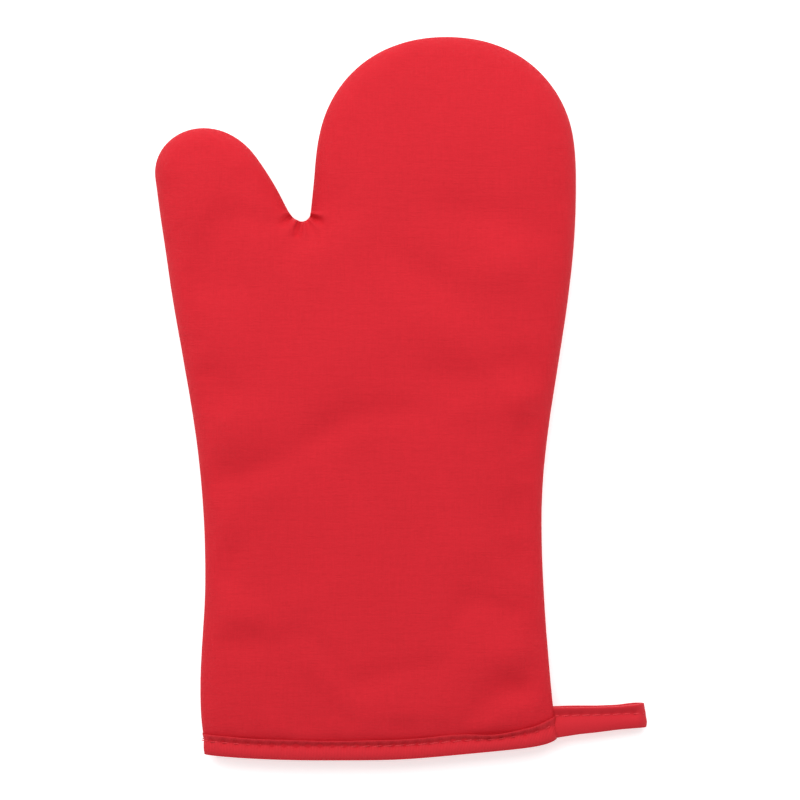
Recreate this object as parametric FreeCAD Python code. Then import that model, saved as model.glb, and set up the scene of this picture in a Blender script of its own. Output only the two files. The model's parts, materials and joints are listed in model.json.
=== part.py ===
"""Oven mitt: a padded, lined mitt with a bound cuff and a hanging loop, lying flat on its back.

+X runs across the hand with the thumb at -X, +Y runs from the cuff to the fingertips and +Z runs up
out of the front. The origin is the middle of the footprint, on the surface that the mitt lies on.
All sizes are in millimetres. Each wall is three layers: outer cloth, wadding and lining. The mitt
folds at the knuckles and at the root of the thumb, so each layer is cut there, and the parts on the
two sides of a fold turn about an axis at the height of the front face.
"""
import FreeCAD, Part
import math
import os

# Overall sizes
mitt_length = 300.0
hand_width = 175.0
mitt_thickness = 22.0

# Layers of the wall, from the outside in
outer_cloth = 0.5
wadding = 3.8
lining = 0.5
layer_gap = 0.1

# Rounding of the edge all round the mitt, and the upright band that the side seam runs along
back_edge_round = 7.0
seam_band = 4.0
seam_gap = 0.6
seam_inset = 1.0
seam_thread = 0.4

# Cuff binding: a tape folded over the hem, with one row of stitches
hem_radius = 560.0
binding_height = 8.4
tape = 0.8
stitch_below_edge = 2.6
binding_thread = 0.6
thread_depth = 0.3
thread_gap = 0.1

# Hanging loop, in the side seam at the cuff
loop_reach = 37.0
loop_root_width = 12.9
loop_tip_width = 10.2
loop_root_middle = 15.2
loop_tip_middle = 18.6
loop_tape = 1.2
loop_tip_radius = 4.4
loop_root_radius = 1.5
loop_eye_start = 7.0
loop_stitch_width = 0.6
loop_stitch_below_edge = 3.5
root_standoff = 2.9
hinge_gap = 0.4

# Folds: the knuckle line, and the line across the root of the thumb
fold_gap = 0.6
knuckle_line = 246.0
thumb_fold_angle = 39.0
thumb_fold_line = 209.0
crotch_line = -33.5

# How far cutting shapes run past what they cut
past = 15.0
reach = 400.0

# The outline going up the thumb side and down the far side: x, y and heading in degrees.
# It is drawn 300 long and 175 wide at the hand, with y from the lowest point of the hem.
drawn_length = 300.0
drawn_width = 175.0
hem_low = -24.5
outline_knots = [
    (-73.3, 2.1, 91.0),     # cuff, thumb side
    (-74.2, 28.7, 90.0),
    (-72.1, 76.0, 90.0),    # waist
    (-76.2, 135.9, 98.0),
    (-87.0, 200.7, 98.0),   # root of the thumb
    (-92.0, 235.5, 97.0),
    (-92.9, 243.5, 90.0),   # widest point of the thumb
    (-72.5, 262.2, 0.0),    # top of the thumb
    (-50.9, 250.5, -54.0),
    (-39.7, 232.3, -63.4),
    (-31.4, 223.5, 0.0),    # crotch
    (-28.3, 227.7, 85.0),
    (-26.8, 243.1, 86.0),
    (-23.1, 265.5, 71.6),
    (-4.8, 290.4, 35.0),
    (28.0, 300.0, 0.0),     # fingertips
    (64.2, 287.9, -40.6),
    (78.3, 268.0, -69.4),
    (82.1, 236.4, -90.0),   # widest point of the hand
    (75.8, 170.8, -99.0),
    (67.9, 99.3, -90.0),    # waist
    (71.3, 36.1, -85.0),
    (74.2, 8.7, -83.0),     # cuff, far side
]

wall = outer_cloth + layer_gap + wadding + layer_gap + lining
front_edge_round = mitt_thickness - back_edge_round - seam_band
seam_height = back_edge_round + seam_band / 2
across = hand_width / drawn_width
along = mitt_length / drawn_length
up = FreeCAD.Vector(0, 0, 1)


def direction(angle):
    return FreeCAD.Vector(math.cos(angle), math.sin(angle), 0)


def turn_between(first, second):
    """Angle from the first heading to the second, the short way round."""
    return (second - first + math.pi) % (2 * math.pi) - math.pi


def arc_to(start, heading, end):
    """The arc that leaves start on a heading and reaches end, as start, heading, length and turn."""
    chord = end - start
    half = turn_between(heading, math.atan2(chord.y, chord.x))
    stretch = half / math.sin(half) if abs(half) > 1e-9 else 1.0
    return start, heading, chord.Length * stretch, 2 * half


def arcs_between(start, heading, end, end_heading):
    """Two arcs that join two points and keep both headings."""
    first = direction(heading)
    last = direction(end_heading)
    span = end - start
    bend = 1 - first.dot(last)
    forward = span.dot(first + last)
    square = span.dot(span)
    if bend < 1e-6:
        arm = square / (2 * forward)
    else:
        arm = (math.sqrt(forward * forward + 2 * bend * square) - forward) / (2 * bend)
    joint = (start + end + (first - last) * arm) * 0.5
    one = arc_to(start, heading, joint)
    two = arc_to(joint, heading + one[3], end)
    return [one, two]


def stretched_knot(knot):
    """A knot moved and turned to suit the length and width of the mitt."""
    x, y, heading = knot
    heading = direction(math.radians(heading))
    point = FreeCAD.Vector(x * across, y * along, 0)
    return point, math.atan2(heading.y * along, heading.x * across)


def outline_arcs():
    """The outline as arcs, with the two sides run straight on past the hem."""
    knots = [stretched_knot(knot) for knot in outline_knots]
    first_point, first_heading = knots[0]
    last_point, last_heading = knots[-1]
    start = first_point - direction(first_heading) * (past + binding_height)
    arcs = [(start, first_heading, past + binding_height, 0.0)]
    for here, there in zip(knots, knots[1:]):
        arcs += arcs_between(here[0], here[1], there[0], there[1])
    arcs.append((last_point, last_heading, past + binding_height, 0.0))
    return arcs


def inset_edge(arc, inset):
    """One arc moved inwards, which is to the right of its heading, as an edge."""
    start, heading, length, turn = arc
    start = start + direction(heading - math.pi / 2) * inset
    length = length + inset * turn
    ends = []
    for share in (0.5, 1.0):
        half = turn * share / 2
        stretch = math.sin(half) / half if abs(half) > 1e-9 else 1.0
        ends.append(start + direction(heading + half) * (length * share * stretch))
    if abs(turn) < math.radians(0.05):
        return Part.LineSegment(start, ends[1]).toShape()
    return Part.Arc(start, ends[0], ends[1]).toShape()


def outline_face(inset):
    """The flat outline of the mitt, moved inwards and closed below the hem."""
    edges = [inset_edge(arc, inset) for arc in outline_arcs()]
    first = edges[0].Vertexes[0].Point
    last = edges[-1].Vertexes[-1].Point
    edges.append(Part.LineSegment(last, first).toShape())
    return Part.Face(Part.Wire(edges))


def edges_at(solid, height):
    """The edges that go round the mitt at one height, without the one that closes it below the hem."""
    found = []
    for edge in solid.Edges:
        middle = edge.CenterOfMass
        level = abs(middle.z - height) < 1e-6 and edge.BoundBox.ZLength < 1e-6
        if level and middle.y > -past:
            found.append(edge)
    return found


pillows = {}


def pillow(inset):
    """The whole mitt as one rounded solid, moved inwards by inset on every side."""
    if inset not in pillows:
        height = mitt_thickness - 2 * inset
        solid = outline_face(inset).extrude(up * height)
        solid.translate(up * inset)
        solid = solid.makeFillet(front_edge_round - inset, edges_at(solid, mitt_thickness - inset))
        solid = solid.makeFillet(back_edge_round - inset, edges_at(solid, inset))
        pillows[inset] = solid
    return pillows[inset].copy()


def above_hem(height):
    """Everything further from the hem than height, measured square to its arc."""
    base = FreeCAD.Vector(hem_low * across, hem_radius, -past)
    return Part.makeCylinder(hem_radius - height, mitt_thickness + 2 * past, base, up)


def stepped(pinched, full, shoulder):
    """The mitt moved inwards by one amount below the shoulder and by another above it."""
    low = pillow(pinched).cut(above_hem(shoulder))
    high = pillow(full).common(above_hem(shoulder))
    return low.fuse(high)


def wall_layers():
    """The three layers of the wall, each pinched where the binding holds it."""
    shoulder = binding_height + layer_gap
    cloth_outside = tape + layer_gap
    cloth_inside = cloth_outside + outer_cloth
    lining_inside = wall - tape - layer_gap
    lining_outside = lining_inside - lining
    cloth_shoulder = shoulder + outer_cloth
    lining_shoulder = shoulder + lining
    wadding_shoulder = max(cloth_shoulder, lining_shoulder) + layer_gap
    faces = [
        stepped(cloth_outside, 0.0, shoulder),
        stepped(cloth_inside, outer_cloth, cloth_shoulder),
        stepped(cloth_inside + layer_gap, outer_cloth + layer_gap, wadding_shoulder),
        stepped(lining_outside - layer_gap, wall - lining - layer_gap, wadding_shoulder),
        stepped(lining_outside, wall - lining, lining_shoulder),
        stepped(lining_inside, wall, shoulder),
    ]
    start = above_hem(tape + layer_gap)
    layers = {}
    for number, name in enumerate(("outer", "wadding", "lining")):
        layers[name] = faces[2 * number].cut(faces[2 * number + 1]).common(start)
    return layers


def block(low, high):
    """A box between two corners."""
    size = high - low
    return Part.makeBox(size.x, size.y, size.z, low)


def halves():
    """Cutting shapes for the front and back panels, which part at the side seam."""
    low = seam_height - seam_gap / 2
    high = seam_height + seam_gap / 2
    wide = FreeCAD.Vector(reach, reach, 0)
    return {
        "front": block(up * high - wide, up * (mitt_thickness + past) + wide),
        "back": block(up * -past - wide, up * low + wide),
    }


def fingers_side(gap):
    """Everything past the knuckle line, on the fingers' side of the crotch."""
    low = FreeCAD.Vector(crotch_line * across, knuckle_line * along + gap, -past)
    return block(low, FreeCAD.Vector(reach, reach, mitt_thickness + past))


def thumb_fold():
    """A point on the fold across the root of the thumb, its direction, and the way to the tip."""
    angle = math.atan2(math.sin(math.radians(thumb_fold_angle)) * along,
                       math.cos(math.radians(thumb_fold_angle)) * across)
    drawn = direction(math.radians(thumb_fold_angle + 90)) * thumb_fold_line
    point = FreeCAD.Vector(drawn.x * across, drawn.y * along, 0)
    return point, direction(angle), direction(angle + math.pi / 2)


def thumb_side(gap):
    """Everything past the thumb's fold, on the thumb's side of the crotch."""
    point, line, outward = thumb_fold()
    base = point + outward * gap - line * reach - up * past
    corners = [base, base + line * 2 * reach, base + line * 2 * reach + outward * reach,
               base + outward * reach, base]
    slab = Part.Face(Part.makePolygon(corners)).extrude(up * (mitt_thickness + 2 * past))
    left = block(FreeCAD.Vector(-reach, 0, -past),
                 FreeCAD.Vector(crotch_line * across, reach, mitt_thickness + past))
    return slab.common(left)


def zones():
    """Cutting shapes for the parts on each side of the folds: each keeps its half of the gap."""
    half = fold_gap / 2
    everything = block(FreeCAD.Vector(-reach, -reach, -past),
                       FreeCAD.Vector(reach, reach, mitt_thickness + past))
    return {
        "palm": everything.cut([fingers_side(-half), thumb_side(-half)]),
        "fingers": fingers_side(half),
        "thumb": thumb_side(half),
    }


def panels():
    """Every layer of the front and back, cut at the folds."""
    made = {}
    sides = halves()
    places = zones()
    for layer_name, layer in wall_layers().items():
        for side_name, side in sides.items():
            sheet = layer.common(side)
            for place_name, place in places.items():
                made[f"{layer_name}_{side_name}_{place_name}"] = sheet.common(place)
    return made


def side_seam():
    """The thread that joins the front and back panels, cut at the folds."""
    ring = outline_face(seam_inset).cut(outline_face(seam_inset + outer_cloth))
    thread = ring.extrude(up * seam_thread)
    thread.translate(up * (seam_height - seam_thread / 2))
    thread = thread.common(above_hem(tape + layer_gap))
    return {f"side_seam_thread_{name}": thread.common(place) for name, place in zones().items()}


def hem_band(low, high):
    """Everything between two heights above the hem."""
    return above_hem(low).cut(above_hem(high))


def cuff_binding():
    """The tape folded over the hem, with a groove for its stitches, and the stitches."""
    stitch_top = binding_height - stitch_below_edge
    stitch_bottom = stitch_top - binding_thread
    sandwich = pillow(tape).cut(pillow(wall - tape)).common(above_hem(tape))
    binding = pillow(0.0).cut(pillow(wall)).common(hem_band(0.0, binding_height)).cut(sandwich)
    groove = pillow(0.0).cut(pillow(thread_depth + 2 * thread_gap))
    groove = groove.common(hem_band(stitch_bottom - thread_gap, stitch_top + thread_gap))
    thread = pillow(thread_gap).cut(pillow(thread_gap + thread_depth))
    thread = thread.common(hem_band(stitch_bottom, stitch_top))
    return binding.cut(groove), thread


def side_x(y):
    """Where the far side of the mitt stands at the seam, at a distance y from the hem's lowest point."""
    ray = Part.LineSegment(FreeCAD.Vector(0, y, 0), FreeCAD.Vector(reach, y, 0)).toShape()
    inside = outline_face(0.0).common(ray)
    return inside.BoundBox.XMax


def loop_places():
    """The loop's turning axis and the middle of the round at its tip, in x and z."""
    side = side_x(loop_root_middle)
    axis = FreeCAD.Vector(side + root_standoff, 0, seam_height)
    tip = FreeCAD.Vector(side + loop_reach + layer_gap - loop_tip_radius, 0, loop_tip_radius)
    return axis, tip


def teardrop(small, small_radius, large, large_radius):
    """A solid across the loop: two rounds joined by the straight lines that touch both."""
    span = large - small
    lean = math.atan2(span.z, span.x)
    spread = math.pi / 2 + math.asin((large_radius - small_radius) / span.Length)

    def on(centre, radius, angle):
        return centre + FreeCAD.Vector(math.cos(angle), 0, math.sin(angle)) * radius

    top_small = on(small, small_radius, lean + spread)
    low_small = on(small, small_radius, lean - spread)
    top_large = on(large, large_radius, lean + spread)
    low_large = on(large, large_radius, lean - spread)
    edges = [
        Part.Arc(low_small, on(small, small_radius, lean + math.pi), top_small).toShape(),
        Part.LineSegment(top_small, top_large).toShape(),
        Part.Arc(top_large, on(large, large_radius, lean), low_large).toShape(),
        Part.LineSegment(low_large, low_small).toShape(),
    ]
    solid = Part.Face(Part.Wire(edges)).extrude(FreeCAD.Vector(0, reach, 0))
    solid.translate(FreeCAD.Vector(0, -reach / 2, 0))
    return solid


def loop_plan(axis, tip, low_share, high_share):
    """The loop's tapered shape from above, between two shares of its width."""
    root_x = axis.x - loop_root_radius - past
    tip_x = tip.x + loop_tip_radius + past

    def edge(x, share):
        run = (x - axis.x) / (tip.x + loop_tip_radius - axis.x)
        middle = loop_root_middle + (loop_tip_middle - loop_root_middle) * run
        width = loop_root_width + (loop_tip_width - loop_root_width) * run
        return FreeCAD.Vector(x, middle + width * (share - 0.5), -past)

    corners = [edge(root_x, low_share), edge(tip_x, low_share),
               edge(tip_x, high_share), edge(root_x, high_share)]
    corners.append(corners[0])
    return Part.Face(Part.makePolygon(corners)).extrude(up * (mitt_thickness + 2 * past))


def hanging_loop():
    """The loop of tape with its open eye, its row of stitches, and its end in the side seam."""
    axis, tip = loop_places()
    eye_start = axis + (tip - axis) * (loop_eye_start / (tip - axis).Length)
    inner_radius = loop_tip_radius - loop_tape
    eye = teardrop(eye_start, loop_root_radius / 5, tip, inner_radius)
    whole = teardrop(axis, loop_root_radius, tip, loop_tip_radius)
    stitch_high = 1 - loop_stitch_below_edge / loop_root_width
    stitch_low = stitch_high - loop_stitch_width / loop_root_width
    spare = thread_gap / loop_root_width
    sunk = thread_depth + 2 * thread_gap
    seat = whole.cut(teardrop(axis, loop_root_radius - sunk, tip, loop_tip_radius - sunk))
    groove = seat.common(loop_plan(axis, tip, stitch_low - spare, stitch_high + spare))
    loop = whole.cut(eye).common(loop_plan(axis, tip, 0.0, 1.0)).cut(groove)
    outside = teardrop(axis, loop_root_radius - thread_gap, tip, loop_tip_radius - thread_gap)
    inside = teardrop(axis, loop_root_radius - thread_gap - thread_depth,
                      tip, loop_tip_radius - thread_gap - thread_depth)
    thread = outside.cut(inside).common(loop_plan(axis, tip, stitch_low, stitch_high))
    end = block(FreeCAD.Vector(axis.x - past, 0, seam_height - loop_root_radius),
                FreeCAD.Vector(axis.x - loop_root_radius - hinge_gap, reach,
                               seam_height + loop_root_radius))
    end = end.common(loop_plan(axis, tip, 0.0, 1.0)).cut(pillow(-layer_gap))
    return loop, thread, end


def all_pieces():
    """Every piece of the mitt by name, before it is moved to the origin."""
    made = panels()
    made.update(side_seam())
    made["cuff_binding"], made["binding_thread"] = cuff_binding()
    made["hang_loop"], made["loop_thread"], made["loop_anchor"] = hanging_loop()
    return made


def middle_of_footprint(made):
    """The middle of the mitt's length and width, with the loop, at the height it lies on."""
    box = FreeCAD.BoundBox()
    for shape in made.values():
        box.add(shape.optimalBoundingBox(False, False))
    return FreeCAD.Vector(box.Center.x, box.Center.y, 0)


def export(made, middle):
    """Check each piece and write it, with the mitt's middle at the origin."""
    os.makedirs("parts", exist_ok=True)
    for name, shape in made.items():
        shape.translate(middle * -1)
        if not shape.isValid() or not shape.Solids:
            raise ValueError(f"{name} is not a valid solid")
        whole = shape.Solids[0] if len(shape.Solids) == 1 else Part.makeCompound(shape.Solids)
        whole.exportStep(f"parts/{name}.step")
        print(f"{name}: {len(shape.Solids)} solid, {len(shape.Faces)} faces, {shape.Volume:.0f} mm3")


def report_axes(middle):
    """Print where each turning axis passes and which way it points, for the object's record."""
    top = up * mitt_thickness
    fold, line, outward = thumb_fold()
    axis, tip = loop_places()
    axes = {
        "fingers": (FreeCAD.Vector(0, knuckle_line * along, 0) + top, FreeCAD.Vector(1, 0, 0)),
        "thumb": (fold + top, line),
        "loop": (axis + FreeCAD.Vector(0, loop_root_middle, 0), FreeCAD.Vector(0, -1, 0)),
    }
    for name, (point, way) in axes.items():
        place = point - middle
        print(f"axis of {name}: at {place.x:.3f} {place.y:.3f} {place.z:.3f}, "
              f"along {way.x:.5f} {way.y:.5f} {way.z:.5f}")
    print(f"middle: {middle.x:.3f} {middle.y:.3f}, wall {wall:.2f}, loop tip {tip.x - middle.x:.2f}")


def main():
    made = all_pieces()
    middle = middle_of_footprint(made)
    export(made, middle)
    report_axes(middle)


main()
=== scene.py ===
"""The looks of a red oven mitt: padded cloth walls, a taped cuff and a hanging loop of tape.

The shape is drawn in millimetres on the mitt's own pattern: x = 0 is the middle of the cuff, y = 0 is
the lowest point of the hem and z = 0 is the surface that the mitt lies on. Meshes are then moved to the
frame and made in metres.
"""
import json
import math

import bpy
import numpy as np
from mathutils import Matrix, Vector
from mathutils.geometry import delaunay_2d_cdt
from mathutils.kdtree import KDTree


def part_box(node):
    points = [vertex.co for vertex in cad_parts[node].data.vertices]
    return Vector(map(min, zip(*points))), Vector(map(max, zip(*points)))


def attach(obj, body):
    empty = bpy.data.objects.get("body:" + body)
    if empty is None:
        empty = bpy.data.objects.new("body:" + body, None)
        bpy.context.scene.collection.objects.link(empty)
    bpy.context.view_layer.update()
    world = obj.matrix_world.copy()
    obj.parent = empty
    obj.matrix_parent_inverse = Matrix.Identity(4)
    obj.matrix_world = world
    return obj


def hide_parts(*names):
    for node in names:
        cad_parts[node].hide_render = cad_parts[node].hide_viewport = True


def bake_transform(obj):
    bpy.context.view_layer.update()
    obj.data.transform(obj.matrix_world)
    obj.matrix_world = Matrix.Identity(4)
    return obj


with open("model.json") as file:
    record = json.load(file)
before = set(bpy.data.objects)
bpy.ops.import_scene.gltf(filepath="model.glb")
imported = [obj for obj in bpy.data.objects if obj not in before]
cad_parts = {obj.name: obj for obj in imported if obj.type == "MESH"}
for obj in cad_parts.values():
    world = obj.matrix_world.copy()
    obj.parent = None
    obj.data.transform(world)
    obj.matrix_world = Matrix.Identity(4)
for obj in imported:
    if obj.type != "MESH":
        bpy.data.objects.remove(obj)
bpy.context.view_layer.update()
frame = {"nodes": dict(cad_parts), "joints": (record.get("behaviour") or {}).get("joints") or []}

# ---------------------------------------------------------------- sizes, in millimetres

mm = 0.001

# The outline going up the thumb side and down the far side: x, y and heading in degrees.
outline_knots = [
    (-73.3, 2.1, 91.0),
    (-74.2, 28.7, 90.0),
    (-72.1, 76.0, 90.0),
    (-76.2, 135.9, 98.0),
    (-87.0, 200.7, 98.0),
    (-92.0, 235.5, 97.0),
    (-92.9, 243.5, 90.0),
    (-72.5, 262.2, 0.0),
    (-50.9, 250.5, -54.0),
    (-39.7, 232.3, -63.4),
    (-31.4, 223.5, 0.0),
    (-28.3, 227.7, 85.0),
    (-26.8, 243.1, 86.0),
    (-23.1, 265.5, 71.6),
    (-4.8, 290.4, 35.0),
    (28.0, 300.0, 0.0),
    (64.2, 287.9, -40.6),
    (78.3, 268.0, -69.4),
    (82.1, 236.4, -90.0),
    (75.8, 170.8, -99.0),
    (67.9, 99.3, -90.0),
    (71.3, 36.1, -85.0),
    (74.2, 8.7, -83.0),
]
crotch = np.array((-31.4, 223.5))
drawn_left = -92.9
drawn_right = 82.1
drawn_top = 300.0

# The hem's rise above its lowest point, on the thumb side, on the far side and at the far corner:
# where it starts, over what width it grows, and how much
hem_thumb_side = (-24.0, 49.0, 2.1)
hem_far_side = (9.0, 6.0, 0.57)
hem_far_corner = (74.2, 4.5, 2.3)

# Heights: the seam, the low rim beside it, and the crown of the front at places up the mitt
seam_height = 8.6
rim = 1.0
crown_at = [(0.0, 17.0), (60.0, 17.5), (120.0, 19.0), (180.0, 20.2), (245.0, 20.0), (300.0, 18.5)]
front_roll = 32.0
front_roll_power = 3.0
back_roll = 15.0
back_roll_power = 2.0
seam_split = 0.05
seam_tuck = (0.9, 0.4, 0.08)
back_lift = 1.35
back_lift_from = 3.0

# The wall's layers, from the outside in, and how far they are squeezed at the seam and the hem
outer_cloth = (0.0, 0.5)
wadding = (0.6, 4.4)
lining = (4.5, 5.0)
seam_squeeze = 0.45
seam_squeeze_reach = 9.0
hem_squeeze = 0.62
hem_squeeze_band = (6.0, 17.0)
seam_allowance = 7.0

# Cuff binding
binding_height = 8.6
binding_pinch = 0.45
binding_hold = 3.0
binding_hold_from = 6.5
pucker_depth = 0.32
pucker_at = 10.2
pucker_reach = 2.4
groove_depth = 0.5
groove_at = 5.7
groove_reach = 1.25
stitch_height = 5.9
binding_pitch = 5.0
cuff_ends = (-73.3, 74.8)
cuff_draw_in = (0.011, 0.002)
cuff_side_points = 60

# The tape's skin over the hem: height above the hem's edge, and how far it stands off the wall
binding_skin = [
    (0.0, -1.55), (0.03, -1.05), (0.14, -0.55), (0.36, -0.05), (0.7, 0.38), (1.15, 0.68), (1.75, 0.88),
    (2.5, 0.99), (3.3, 1.0), (4.1, 0.93), (4.75, 0.79), (5.25, 0.62), (5.65, 0.48), (5.9, 0.43),
    (6.15, 0.48), (6.6, 0.63), (7.2, 0.83), (7.75, 0.97), (8.15, 1.02), (8.42, 0.98), (8.58, 0.85),
    (8.6, 0.66), (8.5, 0.5),
]
# Heights of the tape's face against the wall, and how far it stays off the wall
binding_back = [8.0, 7.0, 5.9, 4.5, 3.0, 1.8, 1.1, 0.8]
binding_clear = 0.05
binding_thinnest = 0.12
columns_per_stitch = 12
# Gentle waves in the tape's body and along its upper edge: height, length and start of each
tape_waves = [(0.10, 9.3, 0.0), (0.07, 3.7, 1.0)]
tape_edge_waves = [(0.16, 14.0, 0.6), (0.10, 5.1, 0.0)]
# The stitches dig a groove in the tape: its half width, the swell between two and the dent at each
tape_groove_reach = 1.5
tape_swell = 0.25
tape_dent = 0.60
# How much of its stand-off the tape loses at the seam, on the thumb side and on the far side
side_flush = (0.80, 0.30)
# The tape rises a little towards its far corner, and dips at one place along its upper edge
corner_rise = 2.0
corner_reach = 7.0
corner_rise_band = (3.0, 8.6)
edge_dip = 1.2
edge_dip_x = 49.0
edge_dip_reach = 10.0

# Hanging loop
loop_tip_radius = 4.4
loop_thickness = 1.7
loop_rest = 0.4
table_clear = 0.03
loop_root_x = 71.2
loop_top_bow = 0.7
loop_low_bow = 0.5
loop_pitch = 4.4
loop_groove = 0.70
loop_groove_reach = 0.09
loop_swell = 0.10
loop_dent = 0.22
loop_waves = [(0.06, 4.1, 0.0), (0.04, 1.9, 2.0)]
loop_tip_slant = (0.5, 1.7)
# How far the lower leg lies off the upper one towards the hem: low edge, stitches, high edge
loop_lower_leg = (0.9, 0.7, 0.5)
loop_low_edge = [(0.0, 8.2), (0.09, 8.9), (0.32, 10.3), (0.5, 11.0), (0.75, 12.1), (1.0, 12.9)]
loop_stitch_line = [(0.0, 17.8), (0.32, 18.3), (0.6, 18.4), (1.0, 18.9)]
loop_high_edge = [(0.0, 21.5), (0.32, 21.6), (0.53, 21.6), (0.75, 21.9), (1.0, 22.8)]
# Across the loop from its fold to its open edge, and the share of its full thickness there
loop_skin = [
    (0.0, 0.10), (0.015, 0.36), (0.045, 0.64), (0.09, 0.94), (0.15, 1.24), (0.22, 1.47), (0.30, 1.60),
    (0.38, 1.62), (0.46, 1.50), (0.54, 1.22), (0.61, 0.82), (0.66, 0.52), (0.70, 0.42), (0.745, 0.62),
    (0.80, 1.05), (0.86, 1.55), (0.92, 2.00), (0.96, 2.20), (0.985, 2.20), (1.0, 1.80),
]

# Stitches: length, thickness, rise, slant in radians, and number of twists
cuff_stitch = (4.1, 0.50, 0.20, 0.10, 2.5)
loop_stitch = (3.6, 0.48, 0.18, 0.10, 2.5)
seam_stitch = (1.5, 0.34, 0.10, 0.25, 1.5)
seam_pitch = 2.6
seam_stitch_depth = 0.55

# Cloth simulation
cloth_spacing = 4.0
cloth_frames = 20
cloth_pressure = 2.0
cloth_ease = 0.018
cloth_bending = 2.5
cloth_furthest = 0.6
cloth_inset = 0.6
# Where the cloth comes free of what holds it, in from the seam and up from the hem
cloth_free_of_seam = (0.5, 7.0)
cloth_free_of_hem = (7.0, 16.0)

# The mesh
point_spacing = 2.2
turn_step = 5.0
grid_spacing = 2.8
# Finer and finer towards the crotch: spacing, and from how near to how far
crotch_grid = [(grid_spacing, 25.0, 1e9), (1.8, 16.0, 25.0), (1.0, 9.5, 16.0), (0.5, 0.0, 9.5)]
ring_distances = [0.0, 0.02, 0.1, 0.3, 0.7, 1.3, 2.1, 3.1, 4.3, 5.6]
ring_lifts = [0.0, 0.5, 1.0]
panel_start = 1.0

smoothing_rounds = 12
unsmoothed_edge = 9.0
unsmoothed_hem = 12.0
unsmoothed_crotch = 14.0

# Where the relief grows in, measured from the seam and up from the hem
relief_strength = 1.25
relief_from_seam = (2.0, 13.0)
relief_from_hem = (9.0, 20.0)

# Bumps and hollows of the padded front: x, y, half length, half width, lean in degrees, height
soft_relief = [
    (38.0, 256.0, 22.0, 19.0, 0.0, 1.3),
    (42.0, 225.5, 17.0, 5.0, -5.0, -0.9),
    (51.0, 203.5, 8.5, 7.0, 0.0, 1.7),
    (20.0, 200.0, 17.0, 4.5, -38.0, -0.8),
    (27.0, 178.0, 14.0, 7.5, -30.0, 1.4),
    (30.0, 158.5, 11.0, 5.0, 0.0, -0.9),
    (57.5, 164.0, 7.0, 5.0, -15.0, -1.0),
    (58.5, 149.0, 6.0, 4.6, -10.0, 1.4),
    (36.0, 144.5, 7.0, 4.0, 0.0, 0.6),
    (-17.0, 164.0, 15.0, 13.0, 0.0, 1.1),
    (6.0, 144.0, 13.0, 4.4, 6.0, -0.9),
    (-20.0, 136.5, 11.0, 4.4, 32.0, -1.1),
    (-51.0, 119.5, 10.0, 4.4, 25.0, -1.1),
    (-57.0, 138.5, 11.0, 9.0, 12.0, 1.4),
    (-61.0, 174.0, 9.0, 8.0, 0.0, 0.8),
    (-65.0, 99.0, 5.5, 5.5, 0.0, 0.9),
    (-44.0, 112.0, 8.0, 5.5, 0.0, 0.5),
    (-58.0, 61.0, 8.5, 5.0, 0.0, 1.3),
    (-30.0, 66.0, 7.0, 5.0, 0.0, 0.5),
    (38.0, 88.0, 7.0, 6.0, 0.0, 0.5),
    (54.0, 45.0, 8.0, 6.0, -10.0, 1.5),
    (54.0, 29.5, 9.0, 4.5, 0.0, -1.0),
    (-77.0, 231.0, 7.0, 12.0, 6.0, 1.2),
    (-14.0, 214.0, 10.0, 7.0, 10.0, 0.8),
    (15.0, 21.0, 13.0, 5.0, 0.0, 0.5),
]

# Creases that run out from the crotch: start, end and depth
crotch_creases = [
    ((-34.6, 225.4), (-40.8, 222.0), 3.2),
    ((-32.0, 223.2), (-33.8, 216.4), 4.0),
    ((-28.3, 225.2), (-22.6, 222.2), 2.8),
]

# Light and picture
dome_strength = 0.54
table_glow = 0.42
table_gap = 0.3
key_place = (-0.14, 0.62, 1.0)
key_size = (1.3, 0.9)
key_power = 13.6
picture_width = 332.4
picture_middle = (8.9, 149.2)
picture_level = 10.0

# ---------------------------------------------------------------- the frame's places


def joined_box(names):
    """Lowest and highest corner of several pieces of the frame together."""
    boxes = [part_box(name) for name in names]
    low = Vector(min(box[0][i] for box in boxes) for i in range(3))
    high = Vector(max(box[1][i] for box in boxes) for i in range(3))
    return low, high


outer_nodes = [name for name in frame["nodes"] if name.startswith("outer_")]
body_low, body_high = joined_box(outer_nodes + ["cuff_binding"])
scale_x = (body_high.x - body_low.x) / (drawn_right - drawn_left)
scale_y = (body_high.y - body_low.y) / drawn_top
joint_of = {joint["name"]: joint for joint in frame["joints"]}


def to_frame(points):
    """Pattern millimetres to metres in the frame."""
    points = np.asarray(points, float)
    moved = points * (scale_x, scale_y, mm)
    return moved + (body_low.x - drawn_left * scale_x, body_low.y, body_low.z)


def to_pattern(points):
    """Places in the frame, in pattern millimetres."""
    moved = (np.asarray(points, float) - (body_low.x, body_low.y, body_low.z)) / (scale_x, scale_y, mm)
    return moved + (drawn_left, 0, 0)


# ---------------------------------------------------------------- the outline and its surface


def smooth_step(value, low, high):
    """0 below low and 1 above high, with an even curve between."""
    t = np.clip((value - low) / (high - low), 0.0, 1.0)
    return t * t * (3 - 2 * t)


def hem(x):
    """How far the hem stands above its lowest point: level in the middle, rising to each side."""
    x = np.asarray(x, float)
    start, width, rise = hem_thumb_side
    thumb_side = rise * (np.clip(start - x, 0.0, None) / width) ** 2
    start, width, rise = hem_far_side
    far_side = rise * np.log1p(np.exp((x - start) / width))
    start, width, rise = hem_far_corner
    return thumb_side + far_side + rise * np.exp((x - start) / width)


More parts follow.
